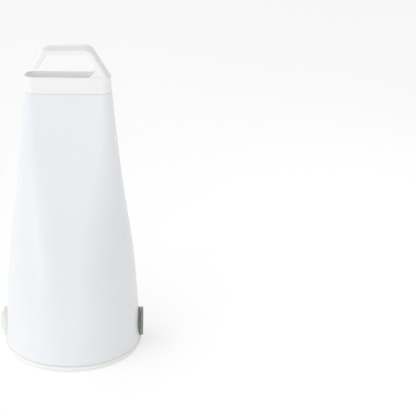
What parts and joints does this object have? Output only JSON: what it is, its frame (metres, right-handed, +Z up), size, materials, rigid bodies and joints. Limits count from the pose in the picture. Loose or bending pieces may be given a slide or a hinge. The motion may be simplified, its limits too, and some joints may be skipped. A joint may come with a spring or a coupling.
{
  "type": "camping lantern",
  "caption": "Camping lantern whose milky body runs from a round torch base to a flat narrow top with an open carry hook, a side push button and a covered charging port.",
  "frame": {"origin": "on the axis of the round base, at the level of the feet", "axes": "+Z up along the body; +X along the wide direction of the flat top, from the push button to the charging port; -Y is the front"},
  "size_m": [0.0899, 0.0852, 0.1934],
  "materials": {
    "body_milky": "milky translucent, satin gloss",
    "cap_white": "warm white, gloss",
    "base_white": "warm white, gloss",
    "lens_ring_white": "white, satin",
    "bezel_white": "white, gloss",
    "button_white": "white, satin",
    "port_grey": "mid grey, satin",
    "plug_rubber": "grey, matte",
    "foot_rubber": "pale, matte",
    "seal_rubber": "pale grey, matte",
    "lens_clear": "clear",
    "reflector_chrome": "satin metallised",
    "cob_yellow": "phosphor coat",
    "board_white": "white mask",
    "board_green": "green mask",
    "sink_aluminium": "bare",
    "screw_steel": "plated",
    "chassis_white": "moulded",
    "cell_wrap": "shrink-wrapped can",
    "contact_nickel": "nickel plated",
    "led_phosphor": "phosphor in a white body",
    "switch_black": "moulded",
    "spring_steel": "drawn wire",
    "socket_steel": "formed sheet",
    "chip_black": "moulded",
    "lead_red": "insulation",
    "lead_black": "insulation"
  },
  "bodies": {
    "lantern": {"diffuser_shell": "body_milky", "hook_cap": "cap_white", "cap_seal": "seal_rubber", "base_ring": "base_white", "base_screws": "screw_steel", "base_feet": "foot_rubber", "base_seal": "seal_rubber", "lens_ring": "lens_ring_white", "torch_lens": "lens_clear", "lens_seal": "seal_rubber", "reflector": "reflector_chrome", "cob_board": "board_white", "cob_emitter": "cob_yellow", "heat_sink": "sink_aluminium", "heat_sink_screws": "screw_steel", "chassis": "chassis_white", "chassis_screws": "screw_steel", "battery_cell": "cell_wrap", "battery_contact_plus": "contact_nickel", "battery_contact_minus": "contact_nickel", "led_carrier": "chassis_white", "carrier_screws": "screw_steel", "led_board": "board_white", "lantern_leds": "led_phosphor", "led_screws": "screw_steel", "button_bezel": "bezel_white", "button_spring": "spring_steel", "push_switch": "switch_black", "switch_board": "board_green", "control_board": "board_green", "board_screws": "screw_steel", "port_bezel": "port_grey", "charge_socket": "socket_steel", "control_parts": "chip_black", "red_leads": "lead_red", "black_leads": "lead_black"},
    "button": {"button_cap": "button_white", "switch_plunger": "switch_black"},
    "port_cover": {"port_plug": "plug_rubber"}
  },
  "joints": [
    {"name": "button_press", "type": "slide", "parent": "lantern", "child": "button", "axis": [1, 0, 0], "range_m": [0, 0.0016], "stiffness_N_per_m": 900, "springref_m": -0.002, "deforming": ["button_spring"]},
    {"name": "port_cover_pull", "type": "slide", "parent": "lantern", "child": "port_cover", "axis": [1, 0, 0], "range_m": [0, 0.014]}
  ]
}
